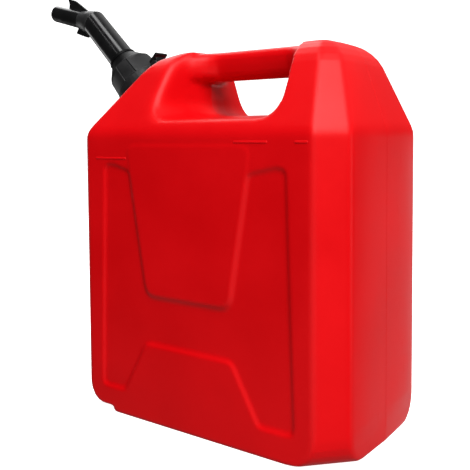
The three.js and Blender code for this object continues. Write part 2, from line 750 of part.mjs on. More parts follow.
// Outer radius of the nozzle at a distance from the bend.
function nozzleRadius(t) {
  if (t <= NOZZLE_CONE) {
    const ease = 0.5 - 0.5 * Math.cos((Math.PI * Math.max(0, t)) / NOZZLE_CONE);
    return tubeRadius + (NOZZLE_OUTER / 2 - tubeRadius) * ease;
  }
  const along = (t - NOZZLE_CONE) / (NOZZLE_LENGTH - NOZZLE_CONE);
  return NOZZLE_OUTER / 2 + ((NOZZLE_TIP_OUTER - NOZZLE_OUTER) / 2) * along;
}

function spoutNozzle() {
  const cone = levels(tubeRadius * mitre + NOZZLE_COLLET, NOZZLE_CONE, ARC_STEPS);
  const bevel = NOZZLE_LENGTH - NOZZLE_SOFTEN;
  const shell = solid(loft([
    circle(tubeRadius, 0, TUBE_STEPS, -mitre),
    ...cone.map((t) => circle(nozzleRadius(t), t)),
    circle(nozzleRadius(bevel), bevel),
    circle(nozzleRadius(NOZZLE_LENGTH) - NOZZLE_SOFTEN, NOZZLE_LENGTH),
  ]));
  const inTube = (radius, low) => {
    const rod = loft([circle(radius, low), circle(radius, mitre * boreRadius)]);
    return solid(rod.rotateY(radians(BEND)));
  };
  const spigot = inTube(spigotRadius, -SPIGOT_LENGTH);
  const spigotBore = inTube(spigotBoreRadius, -SPIGOT_LENGTH - CUT_RUN);
  const nozzleBore = solid(loft([
    circle(nozzleBoreRadius, -nozzleBoreRadius * mitre),
    circle(nozzleBoreRadius, NOZZLE_LENGTH + CUT_RUN),
  ]));
  const finTip = FIN_END + FIN_HOOK;
  const fin = plate([
    [nozzleRadius(FIN_END) - FIN_SINK, -FIN_END],
    [nozzleRadius(FIN_END) + FIN_SINK, -FIN_END],
    [FIN_HEIGHT - FIN_HOOK, -FIN_END - FIN_HOOK / 4],
    [FIN_HEIGHT - FIN_SINK, -finTip + FIN_SINK],
    [FIN_HEIGHT, -finTip],
    [FIN_HEIGHT, FIN_TOP_LENGTH - finTip],
    [nozzleRadius(FIN_START), -FIN_START],
    [nozzleRadius(FIN_START) - FIN_SINK, -FIN_START],
  ], FIN_THICKNESS);
  const lug = plate([
    [FIN_SINK - nozzleRadius(LUG_START), -LUG_START],
    [-LUG_DEPTH, -LUG_START],
    [LUG_TIP / 2 - LUG_DEPTH, -LUG_END - LUG_TIP / 2],
    [LUG_TIP - LUG_DEPTH, -LUG_END - LUG_TIP / 2],
    [FIN_SINK - nozzleRadius(LUG_END), LUG_TIP / 2 - LUG_END],
  ], LUG_THICKNESS);
  const upright = (flat) => solid(flat.rotateX(Math.PI));
  const whole = shell.add(spigot).add(upright(fin)).add(upright(lug));
  return whole.subtract(spigotBore).subtract(nozzleBore);
}

// A thin air tube that lies against the upper wall of the spigot and the nozzle's bore.
function breather() {
  const rest = BREATHER_OUTER / 2 + SEAT_GAP;
  const low = spigotBoreRadius - rest;
  const high = nozzleBoreRadius - rest;
  const turn = SPIGOT_LENGTH * BREATHER_TURN;
  const along = (t) => new THREE.Vector3(high, 0, t).applyMatrix4(nozzleFrame.matrix);
  const foot = new THREE.Vector3(low, 0, flangeFoot - BREATHER_DIP);
  const below = new THREE.Vector3(low, 0, elbowHeight - turn);
  const corner = new THREE.Vector3(low - BREATHER_EASE, 0, elbowHeight + high * mitre);
  const path = new THREE.CurvePath();
  path.add(new THREE.LineCurve3(foot, below));
  path.add(new THREE.QuadraticBezierCurve3(below, corner, along(turn)));
  path.add(new THREE.LineCurve3(along(turn), along(NOZZLE_LENGTH - BREATHER_SHY)));
  const section = new THREE.Shape().absarc(0, 0, BREATHER_OUTER / 2, 0, Math.PI * 2);
  section.holes.push(new THREE.Path().absarc(0, 0, BREATHER_BORE / 2, 0, Math.PI * 2));
  return solid(new THREE.ExtrudeGeometry(section, {
    extrudePath: path,
    steps: PATH_STEPS,
    curveSegments: ARC_STEPS,
    bevelEnabled: false,
  }));
}

// A ring of flattened grips parted by narrow grooves, or the same ring left round.
function collarRing(radius, height, grips) {
  const pair = (Math.PI * 2) / COLLAR_GRIP_PAIRS;
  const wide = radians(COLLAR_WIDE_GRIP);
  const edge = radians(COLLAR_GROOVE_ANGLE);
  const sunk = (angle) => radius * COLLAR_FLATNESS * (1 - Math.cos(angle / 2));
  const flat = (angle) => (grips ? radius - sunk(angle) : radius);
  const groove = (angle) => [
    [angle - edge, radius],
    [angle, grips ? radius - COLLAR_GROOVE : radius],
    [angle + edge, radius],
  ];
  const starts = Array.from({ length: COLLAR_GRIP_PAIRS }, (_, i) => radians(COLLAR_TURN) + i * pair);
  const spots = starts.flatMap((angle) => [
    ...groove(angle),
    [angle + wide / 2, flat(wide)],
    ...groove(angle + wide),
    [angle + (wide + pair) / 2, flat(pair - wide)],
  ]);
  return spots.map(([angle, r]) => new THREE.Vector3(r * Math.cos(angle), r * Math.sin(angle), height));
}

function screwCollar() {
  const foot = ringTop + COLLAR_LIFT;
  const coneFoot = collarTop - COLLAR_CONE;
  const shoulder = COLLAR_SHOULDER / 2;
  const rings = [
    collarRing(COLLAR_SKIRT / 2, foot, true),
    collarRing(shoulder, coneFoot - COLLAR_RIM, true),
    collarRing(shoulder - COLLAR_RIM, coneFoot, false),
    collarRing(COLLAR_MOUTH / 2, collarTop, false),
  ];
  const bore = NECK_OUTER / 2 + THREAD_SLACK;
  const hole = tubeRadius + COLLAR_BORE_SLACK;
  const inside = spindle([
    [bore, foot - CUT_RUN],
    [bore, flangeTop + COLLAR_BORE_SLACK],
    [hole, flareTop + COLLAR_BORE_SLACK],
    [hole, collarTop + CUT_RUN],
  ]);
  return solid(loft(rings)).subtract(solid(inside));
}

addMesh("can_body", canBody(), red, group);
addMesh("can_neck", canNeck(), red, neckFrame);
addMesh("lock_ring", lockRing(), black, neckFrame);
addMesh("release_tab", releaseTab(), black, neckFrame);
addMesh("neck_gasket", gasket(), rubber, neckFrame);
addMesh("spout_tube", spoutTube(), black, neckFrame);
addMesh("spout_nozzle", spoutNozzle(), black, nozzleFrame);
addMesh("breather_tube", breather(), black, neckFrame);
addMesh("screw_collar", screwCollar(), black, neckFrame);

export default group;
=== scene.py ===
import json
import math

import bmesh
import bpy
from mathutils import Matrix, Vector


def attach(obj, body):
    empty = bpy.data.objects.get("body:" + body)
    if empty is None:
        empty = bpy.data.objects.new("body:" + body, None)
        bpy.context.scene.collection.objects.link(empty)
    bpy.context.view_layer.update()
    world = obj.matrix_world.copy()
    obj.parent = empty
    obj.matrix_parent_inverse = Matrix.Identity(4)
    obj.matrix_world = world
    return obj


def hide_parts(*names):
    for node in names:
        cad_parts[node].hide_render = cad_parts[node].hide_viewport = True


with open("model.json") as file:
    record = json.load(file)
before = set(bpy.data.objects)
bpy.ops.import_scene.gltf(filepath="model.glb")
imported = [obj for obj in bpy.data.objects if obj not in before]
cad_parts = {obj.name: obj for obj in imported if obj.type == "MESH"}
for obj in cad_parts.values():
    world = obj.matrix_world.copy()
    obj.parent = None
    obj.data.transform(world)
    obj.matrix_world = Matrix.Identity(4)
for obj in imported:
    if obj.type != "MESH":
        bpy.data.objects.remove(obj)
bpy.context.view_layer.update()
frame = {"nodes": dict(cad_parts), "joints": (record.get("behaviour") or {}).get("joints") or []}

mm = 0.001


# neck space: Z along the neck, X up the slope, millimetres
neckJoint = next(j for j in frame["joints"] if j["name"] == "collar_turn")
neckAxis = Vector(neckJoint["axis"]).normalized()
acrossNeck = Vector((0, 1, 0))
upSlope = acrossNeck.cross(neckAxis)
neckTurn = Matrix((upSlope, acrossNeck, neckAxis)).transposed().to_4x4()
neckSpace = Matrix.Translation(neckJoint["pos_m"]) @ neckTurn @ Matrix.Scale(mm, 4)
toNeck = neckSpace.inverted()


def footAlongNeck(node):  # lowest corner of a CAD node in neck space
    return min((toNeck @ v.co).z for v in frame["nodes"][node].data.vertices)


# mesh helpers, outlines in millimetres

def quarterTurn(steps, first=1):  # sine and 1 - cosine, step by step
    turns = [math.pi / 2 * k / steps for k in range(first, steps + 1)]
    return [(math.sin(a), 1 - math.cos(a)) for a in turns]


def evenShares(steps):  # from one step to the whole
    return [k / steps for k in range(1, steps + 1)]


def softCorners(points, steps=5):  # closed outline of (x, y, radius), corners turned into arcs
    soft = []
    for i, (x, y, radius) in enumerate(points):
        corner = Vector((x, y))
        before = Vector(points[i - 1][:2]) - corner
        after = Vector(points[(i + 1) % len(points)][:2]) - corner
        reach = min(radius, before.length * 0.48, after.length * 0.48)  # short of each side's middle
        if reach < 1e-4:
            soft.append((x, y))
            continue
        start = corner + before.normalized() * reach
        end = corner + after.normalized() * reach
        for k in range(steps + 1):
            t = k / steps
            p = start * (1 - t) ** 2 + corner * (2 * t * (1 - t)) + end * t ** 2
            soft.append((p.x, p.y))
    return soft


def ringAt(radius, height, steps, tilt=0.0):
    ring = []
    for i in range(steps):
        turn = 2 * math.pi * i / steps
        x, y = radius * math.cos(turn), radius * math.sin(turn)
        ring.append(Vector((x, y, height + x * tilt)))
    return ring


def skinRings(rings, wrap=False):  # rings of equal length joined into one closed bmesh
    bm = bmesh.new()
    rows = [[bm.verts.new(p) for p in ring] for ring in rings]
    pairs = list(zip(rows, rows[1:]))
    if wrap:
        pairs.append((rows[-1], rows[0]))
    for low, high in pairs:
        for i in range(len(low)):
            j = (i + 1) % len(low)
            bm.faces.new((low[i], low[j], high[j], high[i]))
    if not wrap:
        bm.faces.new(rows[0][::-1])
        bm.faces.new(rows[-1])
    bmesh.ops.recalc_face_normals(bm, faces=bm.faces[:])
    return bm


def plateOf(outline, thickness):  # an outline in X and Z with a thickness along Y
    half = thickness / 2
    rings = [[Vector((x, y, z)) for x, z in outline] for y in (-half, half)]
    return skinRings(rings)


def meshFrom(name, *parts):  # bmeshes joined into one mesh
    mesh = bpy.data.meshes.new(name)
    whole = bmesh.new()
    for part in parts:
        part.to_mesh(mesh)
        whole.from_mesh(mesh)
        part.free()
    whole.to_mesh(mesh)
    whole.free()
    return mesh


def addPiece(name, mesh, space=None, sharp=40):
    if space is not None:
        mesh.transform(space)
    for face in mesh.polygons:
        face.use_smooth = True
    mesh.set_sharp_from_angle(angle=math.radians(sharp))
    piece = bpy.data.objects.new(name, mesh)
    bpy.context.scene.collection.objects.link(piece)
    return piece


def baked(piece):  # modifiers made part of the mesh
    graph = bpy.context.evaluated_depsgraph_get()
    piece.data = bpy.data.meshes.new_from_object(piece.evaluated_get(graph))
    piece.modifiers.clear()
    for face in piece.data.polygons:
        face.use_smooth = True
    return piece


def eased(piece, rounds, weight=None):  # edges softened, all over or by a weight at each place
    ease = piece.modifiers.new("ease", "SMOOTH")
    ease.factor = 0.5
    ease.iterations = rounds
    if weight is not None:
        zone = piece.vertex_groups.new(name="soft_zone")
        for v in piece.data.vertices:
            zone.add([v.index], weight(v.co / mm), "REPLACE")
        ease.vertex_group = zone.name
    return baked(piece)


def moulded(piece, voxel, rounds):  # one even skin with every edge softened, as it leaves a mould
    skin = piece.modifiers.new("skin", "REMESH")
    skin.mode = "VOXEL"
    skin.voxel_size = voxel * mm
    return eased(piece, rounds)


def copyOf(*nodes):  # the shapes of CAD nodes as a bmesh of their own
    bm = bmesh.new()
    for node in nodes:
        bm.from_mesh(frame["nodes"][node].data)
    bmesh.ops.remove_doubles(bm, verts=bm.verts[:], dist=1e-6)
    return bm


# shader maths

class Wire:  # a socket that takes part in Python expressions
    def __init__(self, finish, socket):
        self.finish = finish
        self.socket = socket

    def math(self, operation, first, second):
        return self.finish.node("ShaderNodeMath", {"operation": operation}, {0: first, 1: second})

    def __add__(self, other):
        return self.math("ADD", self, other)

    __radd__ = __add__

    def __mul__(self, other):
        return self.math("MULTIPLY", self, other)

    __rmul__ = __mul__

    def __sub__(self, other):
        return self.math("SUBTRACT", self, other)

    def __rsub__(self, other):
        return self.math("SUBTRACT", other, self)


class Finish:  # the nodes of a material or a sky, all made by one method
    def __init__(self, owner, shader="Principled BSDF"):
        owner.use_nodes = True
        self.owner = owner
        self.tree = owner.node_tree
        self.shader = self.tree.nodes[shader]

    def node(self, kind, settings=None, sockets=None, out=0):
        made = self.tree.nodes.new(kind)
        for key, value in (settings or {}).items():
            setattr(made, key, value)
        for key, value in (sockets or {}).items():
            self.feed(made.inputs[key], value)
        return Wire(self, made.outputs[out])

    def feed(self, socket, value):
        if isinstance(value, Wire):
            self.tree.links.new(value.socket, socket)
        else:
            socket.default_value = value

    def set(self, **inputs):  # words are joined by underscores in place of spaces
        for key, value in inputs.items():
            self.feed(self.shader.inputs[key.replace("_", " ")], value)

    def place(self):  # object space
        return self.node("ShaderNodeTexCoord", out=3)

    def noise(self, scale, detail=3.0, rough=0.5, where=None):
        sockets = {"Vector": where or self.place(), "Scale": scale, "Detail": detail, "Roughness": rough}
        return self.node("ShaderNodeTexNoise", {}, sockets)

    def stretched(self, scale):  # object space drawn out along one axis
        return self.node("ShaderNodeMapping", {}, {"Vector": self.place(), "Scale": scale})

    def band(self, value, low, high):  # 0 below low, 1 above high
        return self.node("ShaderNodeMapRange", {}, {0: value, 1: low, 2: high})

    def shade(self, amount, first, second):
        sockets = {0: amount, 6: (*first, 1) if isinstance(first, tuple) else first, 7: (*second, 1)}
        return self.node("ShaderNodeMix", {"data_type": "RGBA"}, sockets, out=2)

    def relief(self, height, depth, strength=1.0, under=None):
        sockets = {"Height": height, "Distance": depth * mm, "Strength": strength}
        if under is not None:
            sockets["Normal"] = under
        return self.node("ShaderNodeBump", {}, sockets)

    def edges(self, low, high):  # 1 on sharp outer edges
        return self.band(self.node("ShaderNodeNewGeometry", out=7), low, high)


tankLook = {
    "red": (0.50, 0.0006, 0.0022),
    "deepRed": (0.45, 0.0004, 0.0017),
    "edgeRed": (0.62, 0.004, 0.007),
    "edgeShare": 0.35,
    "roughness": 0.36,
    "shine": 0.15,
    "grain": 0.05,  # depths of the two reliefs
    "waves": 0.10,
}


def tankPlastic():
    f = Finish(bpy.data.materials.new("tank_plastic"))
    cloud = f.band(f.noise(14, 4), 0.35, 0.7)  # uneven pigment
    rub = f.band(f.noise(1, 6, 0.65, f.stretched((160, 160, 28))), 0.62, 0.78)  # upright rub marks
    edge = f.edges(0.515, 0.56)
    tone = f.shade(cloud, tankLook["deepRed"], tankLook["red"])
    tone = f.shade(edge * tankLook["edgeShare"], tone, tankLook["edgeRed"])
    grain = f.noise(1500, 2)
    waves = f.noise(75, 2)
    swell = f.relief(waves, tankLook["waves"], 0.35)
    f.set(
        Base_Color=tone,
        Roughness=tankLook["roughness"] + 0.08 * cloud + 0.10 * rub - 0.05 * edge,
        IOR=1.45,
        Specular_IOR_Level=tankLook["shine"],
        Normal=f.relief(grain, tankLook["grain"], 0.45, swell),
    )
    return f.owner


blackLook = {
    "glossy": {
        "colour": (0.0022, 0.0022, 0.0024), "dust": (0.006, 0.006, 0.0062),
        "roughness": 0.15, "shine": 0.5,
    },
    "satin": {
        "colour": (0.008, 0.008, 0.0083), "dust": (0.024, 0.024, 0.0245),
        "roughness": 0.40, "shine": 0.5,
    },
    "grip": {
        "colour": (0.006, 0.006, 0.0063), "dust": (0.018, 0.018, 0.0185),
        "roughness": 0.42, "shine": 0.22,
    },
    # painted shade: a darker, duller copy of the black, standing in for the shade on the collar's cone and
    # the tube's bead
    "painted_shade": {
        "colour": (0.0015, 0.0015, 0.0016), "dust": (0.004, 0.004, 0.004),
        "roughness": 0.45, "shine": 0.08,
    },
    "rubber": {
        "colour": (0.010, 0.010, 0.010), "dust": (0.026, 0.026, 0.025),
        "roughness": 0.78, "shine": 0.4,
    },
}


def blackFinish(kind):
    look = blackLook[kind]
    f = Finish(bpy.data.materials.new("black_" + kind))
    cloud = f.band(f.noise(90, 5, 0.6), 0.4, 0.75)  # dust
    scratch = f.band(f.noise(1, 5, 0.7, f.stretched((900, 900, 60))), 0.66, 0.74)  # fine upright scratches
    edge = f.edges(0.52, 0.58)
    tone = f.shade(cloud * 0.5 + edge * 0.5, look["colour"], look["dust"])
    grain = f.relief(f.noise(2600, 2), 0.02, 0.35)
    f.set(
        Base_Color=tone,
        Roughness=look["roughness"] + 0.10 * cloud + 0.12 * scratch,
        IOR=1.5,
        Specular_IOR_Level=look["shine"],
        Normal=f.relief(f.noise(260, 2), 0.05, 0.18, grain),
    )
    return f.owner


tankRed = tankPlastic()
blackGloss = blackFinish("glossy")
blackSatin = blackFinish("satin")
blackGrip = blackFinish("grip")
blackPaintedShade = blackFinish("painted_shade")
blackRubber = blackFinish("rubber")
print("finishes: tank red, five blacks")


def settle(piece, body, material, slot, *nodes):  # rides, looks and what it stands for
    piece.data.materials.clear()
    piece.data.materials.append(material)
    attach(piece, body)
    if nodes:
        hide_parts(*nodes)
    return piece


# tank
tank = {
    "voxel": 1.3,
    "easing": 3,
    "plugs": ((19.6, 0.0, 22.0), (26.0, 9.0, 11.0)),  # radius and heights, inside the neck and its foot
    "soft": {  # rounds on the neck post, at the grip's wall and clear of the bar
        "rounds": 170, "grip": -45.0, "reach": 12.0, "fade": 10.0, "low": 268.0, "bar": 34.0,
    },
    "lip": {  # the edge below the grip, with a share of those rounds
        "share": 0.35, "low": 262.0, "high": 276.0, "aside": 46.0, "left": -45.0, "right": 75.0,
    },
    "taper": {  # the bar's underside
        "share": 0.42, "foot": 301.0, "low": 303.0, "high": 333.0,
        "left": -38.0, "right": 72.0, "fade": 18.0, "half": 27.0,
    },
    "crown": {  # the bulge of both ends
        "proud": 1.2, "flat": 60.5, "shoulder": 258.0, "narrowing": 0.416, "low": 14.0, "high": 318.0,
        "facing": 0.8, "inner": 70.0, "outer": 80.0,
    },
}


def ramp(value, low, high):  # 0 at low and 1 at high, the other way round where low is higher
    return min(1, max(0, (value - low) / (high - low)))


def softZone(spot):  # the neck post's edges and the lip below the grip, where the rounds are fullest
    soft, lip = tank["soft"], tank["lip"]
    fade = soft["fade"]
    post = ramp(abs(spot.x - soft["grip"]), soft["reach"] + fade, soft["reach"])
    post *= ramp(spot.z, soft["low"] - fade, soft["low"]) * ramp(abs(spot.y), soft["bar"] - fade, soft["bar"])
    edge = ramp(spot.z, lip["low"] - fade, lip["low"]) * ramp(spot.z, lip["high"] + fade, lip["high"])
    edge *= ramp(spot.x, lip["left"] - fade, lip["left"]) * ramp(spot.x, lip["right"] + fade, lip["right"])
    return max(post, edge * ramp(abs(spot.y), lip["aside"] - fade, lip["aside"]) * lip["share"])


def taperBar(mesh):  # the handle's bar is slimmer underneath
    taper = tank["taper"]
    for v in mesh.vertices:
        x, y, z = v.co / mm
        if z > taper["foot"] and taper["left"] < x < taper["right"] and abs(y) < taper["half"]:
            along = ramp(x, taper["left"], taper["left"] + taper["fade"])
            along *= ramp(x, taper["right"], taper["right"] - taper["fade"])
            v.co.y *= 1 - taper["share"] * along * ramp(z, taper["high"], taper["low"])


def crownEnds(mesh):  # the two ends bulge smoothly where their solids meet in a shallow ridge
    crown = tank["crown"]
    onEnd = [v for v in mesh.vertices if abs(v.normal.x) > crown["facing"]]  # read before any vertex moves
    for v in onEnd:
        x, y, z = v.co / mm
        if not crown["low"] < z < crown["high"]:
            continue
        half = crown["flat"] - crown["narrowing"] * max(0, z - crown["shoulder"])
        t = min(1, abs(y) / half)
        fade = ramp(z, crown["low"], 2 * crown["low"]) * ramp(z, crown["high"], crown["high"] - crown["low"])
        end = ramp(abs(x), crown["inner"], crown["outer"])
        v.co.x += math.copysign(crown["proud"] * (t - t ** 4) * fade * end * mm, x)


def tankShell():
    bm = copyOf("can_body", "can_neck")
    for radius, low, high in tank["plugs"]:
        middle = neckSpace @ Matrix.Translation((0, 0, (low + high) / 2))
        bmesh.ops.create_cone(
            bm, cap_ends=True, segments=64, radius1=radius, radius2=radius, depth=high - low, matrix=middle
        )
    piece = moulded(addPiece("tank_shell", meshFrom("tank_shell", bm)), tank["voxel"], tank["easing"])
    crownEnds(piece.data)
    taperBar(piece.data)
    return eased(piece, tank["soft"]["rounds"], softZone)


shell = settle(tankShell(), "can", tankRed, "tank_plastic", "can_body", "can_neck")
print("tank:", len(shell.data.polygons), "faces")

# plain level marks on the front face
levelMark = {
    "face": -82.5,
    "height": 2.2,
    "rounds": ((-0.5, 0, 0), (0.04, 0.1, 0), (0.26, 0.4, -0.15), (0.40, 0.85, -0.35)),  # proud, inset, drop
    "runs": {"low": (-108.3, -69.7, 234.5), "high": (48.6, 80.8, 249.1), "high_end": (104.9, 116.9, 249.1)},
}


def levelBar(left, right, z):
    half = levelMark["height"] / 2
    rings = []
    for out, inset, drop in levelMark["rounds"]:
        a, b, h = left + inset, right - inset, half - inset
        low, high = z + drop - h, z + drop + h
        corners = [(a, low, h), (b, low, h), (b, high, h), (a, high, h)]
        rings.append([Vector((x, levelMark["face"] - out, up)) for x, up in softCorners(corners, 4)])
    return skinRings(rings)


for name, run in levelMark["runs"].items():
    title = "level_mark_" + name
    bar = addPiece(title, meshFrom(title, levelBar(*run)), Matrix.Scale(mm, 4), sharp=60)
    settle(bar, "can", tankRed, "tank_plastic")

# thin ridge where the two mould halves met
partingRidge = {
    "radius": 0.09,
    "lowest": 9.0,
    "neckFoot": -1.0,
    "neckClear": 31.0,
    "shortest": 40,  # points in a run that is kept
    "spacing": 3,
}


def partingRuns(mesh):
    bm = bmesh.new()
    bm.from_mesh(mesh)
    whole = bm.verts[:] + bm.edges[:] + bm.faces[:]
    bmesh.ops.bisect_plane(
        bm, geom=whole, plane_co=(0, 0, 0), plane_no=(0, 1, 0), clear_inner=True, clear_outer=True
    )

    def wanted(v):
        seat = toNeck @ v.co
        clear = seat.z < partingRidge["neckFoot"] or abs(seat.x) > partingRidge["neckClear"]
        return clear and v.co.z > partingRidge["lowest"] * mm

    left = {v for v in bm.verts if wanted(v)}
    runs = []
    while left:
        ends = [v for v in left if sum(e.other_vert(v) in left for e in v.link_edges) < 2]
        here = min(ends or left, key=lambda v: (v.co.x, v.co.z))
        run = []
        while here is not None:
            run.append(here.co.copy())
            left.discard(here)
            here = next((e.other_vert(here) for e in here.link_edges if e.other_vert(here) in left), None)
        if len(run) > partingRidge["shortest"]:
            runs.append((run[:: partingRidge["spacing"]], not ends))
    bm.free()
    return runs


def partingLine():
    curve = bpy.data.curves.new("parting_line", "CURVE")
    curve.dimensions = "3D"
    curve.bevel_depth = partingRidge["radius"] * mm
    curve.bevel_resolution = 2
    curve.use_fill_caps = True
    for run, closed in partingRuns(shell.data):
        spline = curve.splines.new("POLY")
        spline.points.add(len(run) - 1)
        for point, spot in zip(spline.points, run):
            point.co = (*spot, 1)
        spline.use_cyclic_u = closed
    line = bpy.data.objects.new("parting_line", curve)
    bpy.context.scene.collection.objects.link(line)
    return line


settle(partingLine(), "can", tankRed, "tank_plastic")

# thread on the neck, seen once the collar is up
neckThread = {
    "radius": 21.0,
    "proud": 0.42,
    "sunk": 0.4,
    "half": 1.3,
    "crest": 0.5,
    "pitch": 6.0,
    "low": 25.4,
    "turns": 0.9,
    "steps": 80,
    "fade": 0.125,  # of its length, at each end
}


def threadRidge():
    half, crest, sunk = (neckThread[k] for k in ("half", "crest", "sunk"))
    rings = []
    for k in range(neckThread["steps"] + 1):
        t = k / neckThread["steps"]
        angle = 2 * math.pi * neckThread["turns"] * t
        proud = neckThread["proud"] * min(1, t / neckThread["fade"], (1 - t) / neckThread["fade"])
        h = neckThread["low"] + neckThread["pitch"] * neckThread["turns"] * t
        section = [(-sunk, -half), (proud, -crest), (proud, crest), (-sunk, half)]
        out = Vector((math.cos(angle), math.sin(angle), 0))
        rings.append([out * (neckThread["radius"] + r) + Vector((0, 0, h + up)) for r, up in section])
    return skinRings(rings)


thread = addPiece("neck_thread", meshFrom("neck_thread", threadRidge()), neckSpace)
settle(thread, "can", tankRed, "tank_plastic")
print("tank marks: level bars, parting line and thread")

# lock ring and release tab, eased from their solids
lockPieces = {
    "lock_ring": {"body": "can", "voxel": 0.45, "easing": 5, "material": blackGrip},
    "release_tab": {"body": "tab", "voxel": 0.35, "easing": 5, "material": blackGloss},
}
for node, make in lockPieces.items():
    piece = addPiece("eased_" + node, meshFrom(node, copyOf(node)))
    moulded(piece, make["voxel"], make["easing"])
    settle(piece, make["body"], make["material"], "black_plastic", node)
print("lock: ring and tab")

# gasket and breather keep their solids
for node, material in (("neck_gasket", blackRubber), ("breather_tube", blackSatin)):
    solid = frame["nodes"][node]
    solid.data.materials.clear()
    solid.data.materials.append(material)

# spout tube
spout = {
    "steps": 96,
    "flange": 20.7,
    "mouth": 18.1,
    "rim": 3.0,
    "flare": 20.0,
    "lip": 2.4,
    "radius": 13.0,
    "swell": 0.6,  # of the radius, just above the bead
    "bore": 10.5,
    "bead": 15.0,
    "beadHeight": 3.2,
    "seat": 0.3,
    "toBend": 62.5,
    "straight": 8.0,  # below the bend
    "bend": 30.0,
}
tubeFoot = footAlongNeck("spout_tube")
flareTop = tubeFoot + spout["rim"] + spout["flare"]
collarTop = flareTop + spout["lip"]
bendHeight = collarTop + spout["toBend"]
mitre = math.tan(math.radians(spout["bend"] / 2))


def spoutTube():
    r, bore = spout["radius"], spout["bore"]
    bead = collarTop + spout["seat"]
    high = bendHeight - spout["seat"]
    profile = softCorners([
        (spout["mouth"], tubeFoot, 0.4),
        (spout["flange"], tubeFoot, 0.6),
        (spout["flange"], tubeFoot + spout["rim"], 0.8),
        (r, flareTop, 3),
        (r, bead, 0.3),
        (spout["bead"], bead, 0.5),
        (spout["bead"], bead + spout["beadHeight"], 1.4),
        (r + spout["swell"], bead + spout["beadHeight"], 0.9),
        (r, high - spout["straight"], 0),
        (r, high, 0),
        (bore, high, 0),
        (bore, flareTop, 2),
    ])
    rings = []
    for x, h in profile:
        tilt = mitre if h == high else 0  # only the top end is cut on a slant
        rings.append(ringAt(x, h, spout["steps"], tilt))
    return skinRings(rings, wrap=True)


tube = addPiece("pouring_tube", meshFrom("pouring_tube", spoutTube()), neckSpace, sharp=30)
settle(tube, "spout", blackGloss, "black_plastic", "spout_tube")
# the bead and the flange below it take the darker copy: painted shade
tube.data.materials.append(blackPaintedShade)
for face in tube.data.polygons:
    face.material_index = int((toNeck @ face.center).z < collarTop + spout["seat"] + spout["beadHeight"])

# nozzle, in a space whose Z runs along it and whose X points up
nozzle = {
    "steps": 96,
    "length": 63.0,
    "cone": 22.0,
    "coneRings": 12,
    "collet": 1.5,
    "root": 9.5,
    "tip": 9.0,
    "bore": 7.0,
    "tipSoft": 1.1,
    "tipRings": 6,
    "voxel": 0.42,
    "easing": 4,
    "fin": {
        "thickness": 3.0, "start": 12.0, "end": 43.0, "height": 18.8, "top": 13.0, "hook": 4.7,
        "throat": 4.0, "sunk": 1.2, "startSunk": 1.5,
    },
    "lug": {"thickness": 4.0, "start": 6.0, "end": 23.0, "depth": 17.0, "toe": 1.2, "startSunk": 1.5},
    "matteTo": 19.5,  # the cone is duller than the rest
    "wallTo": 0.6,  # further out are the fin and the lug
}
nozzleSpace = neckSpace @ Matrix.Translation((0, 0, bendHeight))
nozzleSpace = nozzleSpace @ Matrix.Rotation(-math.radians(spout["bend"]), 4, "Y")


def nozzleRadius(t):
    if t <= nozzle["cone"]:
        ease = 0.5 - 0.5 * math.cos(math.pi * max(0, t) / nozzle["cone"])
        return spout["radius"] + (nozzle["root"] - spout["radius"]) * ease
    along = (t - nozzle["cone"]) / (nozzle["length"] - nozzle["cone"])
    return nozzle["root"] + (nozzle["tip"] - nozzle["root"]) * along


def nozzleShell():
    steps, bore, length = nozzle["steps"], nozzle["bore"], nozzle["length"]
    clear = spout["radius"] * mitre + nozzle["collet"]
    rings = [ringAt(spout["radius"], 0, steps, -mitre)]
    for k in range(nozzle["coneRings"] + 1):
        t = clear + (nozzle["cone"] - clear) * k / nozzle["coneRings"]
        rings.append(ringAt(nozzleRadius(t), t, steps))
    for rise, inset in quarterTurn(nozzle["tipRings"], 0):
        tipRadius = nozzle["tip"] - nozzle["tipSoft"] * inset
        rings.append(ringAt(tipRadius, length - nozzle["tipSoft"] * (1 - rise), steps))
    rings.append(ringAt(bore, length, steps))
    rings.append(ringAt(bore, 0, steps, -mitre))
    return skinRings(rings, wrap=True)


def finPlate():
    fin = nozzle["fin"]
    foot = nozzleRadius(fin["end"])
    tip = fin["end"] + fin["hook"]
    outline = [  # out from the axis, along it, corner radius
        (foot - fin["sunk"], fin["end"], 0),
        (foot + 0.6, fin["end"], 3),
        (fin["height"] - fin["throat"], fin["end"] + 0.8, 6),
        (fin["height"], tip, 0.8),
        (fin["height"], tip - fin["top"], 3),
        (nozzleRadius(fin["start"]), fin["start"], 3),
        (nozzleRadius(fin["start"]) - fin["startSunk"], fin["start"], 0),
    ]
    return plateOf(softCorners(outline), fin["thickness"])


def lugPlate():
    lug = nozzle["lug"]
    toe = lug["toe"]
    outline = [
        (lug["startSunk"] - nozzleRadius(lug["start"]), lug["start"], 0),
        (-lug["depth"], lug["start"], 1),
        (toe - lug["depth"], lug["end"] + toe, 0.8),
        (2 * toe - lug["depth"], lug["end"] + toe, 0.8),
        (toe - nozzleRadius(lug["end"]), lug["end"] - toe, 0),
    ]
    return plateOf(softCorners(outline), lug["thickness"])


noseMesh = meshFrom("pouring_nozzle", nozzleShell(), finPlate(), lugPlate())
nose = addPiece("pouring_nozzle", noseMesh, nozzleSpace)
moulded(nose, nozzle["voxel"], nozzle["easing"])
settle(nose, "spout", blackGloss, "black_plastic", "spout_nozzle")
nose.data.materials.append(blackSatin)
toNozzle = nozzleSpace.inverted()
for face in nose.data.polygons:
    spot = toNozzle @ face.center
    onWall = math.hypot(spot.x, spot.y) < nozzleRadius(spot.z) + nozzle["wallTo"]
    face.material_index = int(onWall and spot.z < nozzle["matteTo"])
print("spout: tube and nozzle")

